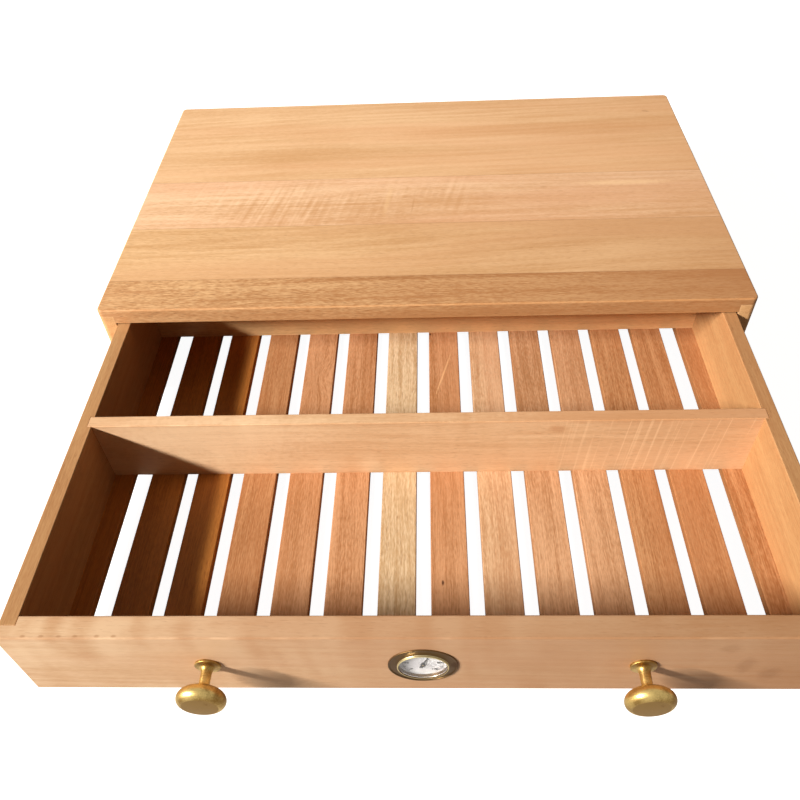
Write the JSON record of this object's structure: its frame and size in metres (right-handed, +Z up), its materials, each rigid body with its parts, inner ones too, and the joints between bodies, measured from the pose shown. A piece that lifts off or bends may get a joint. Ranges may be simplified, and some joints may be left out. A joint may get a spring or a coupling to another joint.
{
  "type": "drawer box",
  "caption": "Low wooden riser box with one wide drawer: slatted floor, cross divider, turned brass knobs and a round insert humidity gauge in the front.",
  "frame": {"origin": "centre of the carcass's footprint, on the surface it stands on", "axes": "+Z up, +Y from the drawer's front towards the back of the carcass, +X to the right as seen from the front"},
  "size_m": [0.46, 0.5602, 0.086],
  "materials": {
    "case_wood": "sanded, clear satin",
    "drawer_wood": "sanded, clear satin",
    "slat_wood": "planed, bare",
    "satin_brass": "satin",
    "movement_brass": "bright",
    "steel": "zinc plated",
    "coil_metal": "coated strip",
    "sleeve_rubber": "matt",
    "clear_lens": "clear",
    "dial_white": "printed card",
    "pointer_black": "matt black"
  },
  "bodies": {
    "carcass": {"top_board_front": "case_wood", "top_board_second": "case_wood", "top_board_third": "case_wood", "top_board_rear": "case_wood", "side_board_left": "case_wood", "side_board_right": "case_wood", "back_panel": "case_wood", "runner_left": "case_wood", "runner_right": "case_wood", "runner_screws": "steel", "cross_rail": "case_wood", "rail_screws": "steel"},
    "drawer": {"drawer_front": "drawer_wood", "drawer_side_left": "drawer_wood", "drawer_side_right": "drawer_wood", "drawer_back": "drawer_wood", "drawer_divider": "drawer_wood", "floor_pins": "steel", "floor_slat_01": "slat_wood", "floor_slat_02": "slat_wood", "floor_slat_03": "slat_wood", "floor_slat_04": "slat_wood", "floor_slat_05": "slat_wood", "floor_slat_06": "slat_wood", "floor_slat_07": "slat_wood", "floor_slat_08": "slat_wood", "floor_slat_09": "slat_wood", "floor_slat_10": "slat_wood", "floor_slat_11": "slat_wood", "floor_slat_12": "slat_wood", "floor_slat_13": "slat_wood", "floor_slat_14": "slat_wood", "knob_left": "satin_brass", "knob_right": "satin_brass", "knob_screws": "steel", "knob_washers": "steel", "gauge_bezel": "satin_brass", "gauge_housing": "steel", "gauge_sleeve": "sleeve_rubber", "gauge_lens": "clear_lens", "gauge_dial": "dial_white", "gauge_plate": "movement_brass", "gauge_stud": "movement_brass", "gauge_coil": "coil_metal"},
    "pointer": {"gauge_arbor": "movement_brass", "gauge_pointer": "pointer_black"}
  },
  "joints": [
    {"name": "drawer_slide", "type": "slide", "parent": "carcass", "child": "drawer", "axis": [0, -1, 0], "range_m": [-0.239, 0.03]},
    {"name": "pointer_turn", "type": "hinge", "parent": "drawer", "child": "pointer", "pos_m": [0, -0.3875, 0.0428], "axis": [0, 1, 0], "range_deg": [-153, 117], "stiffness_Nm_per_rad": 0.00005}
  ]
}
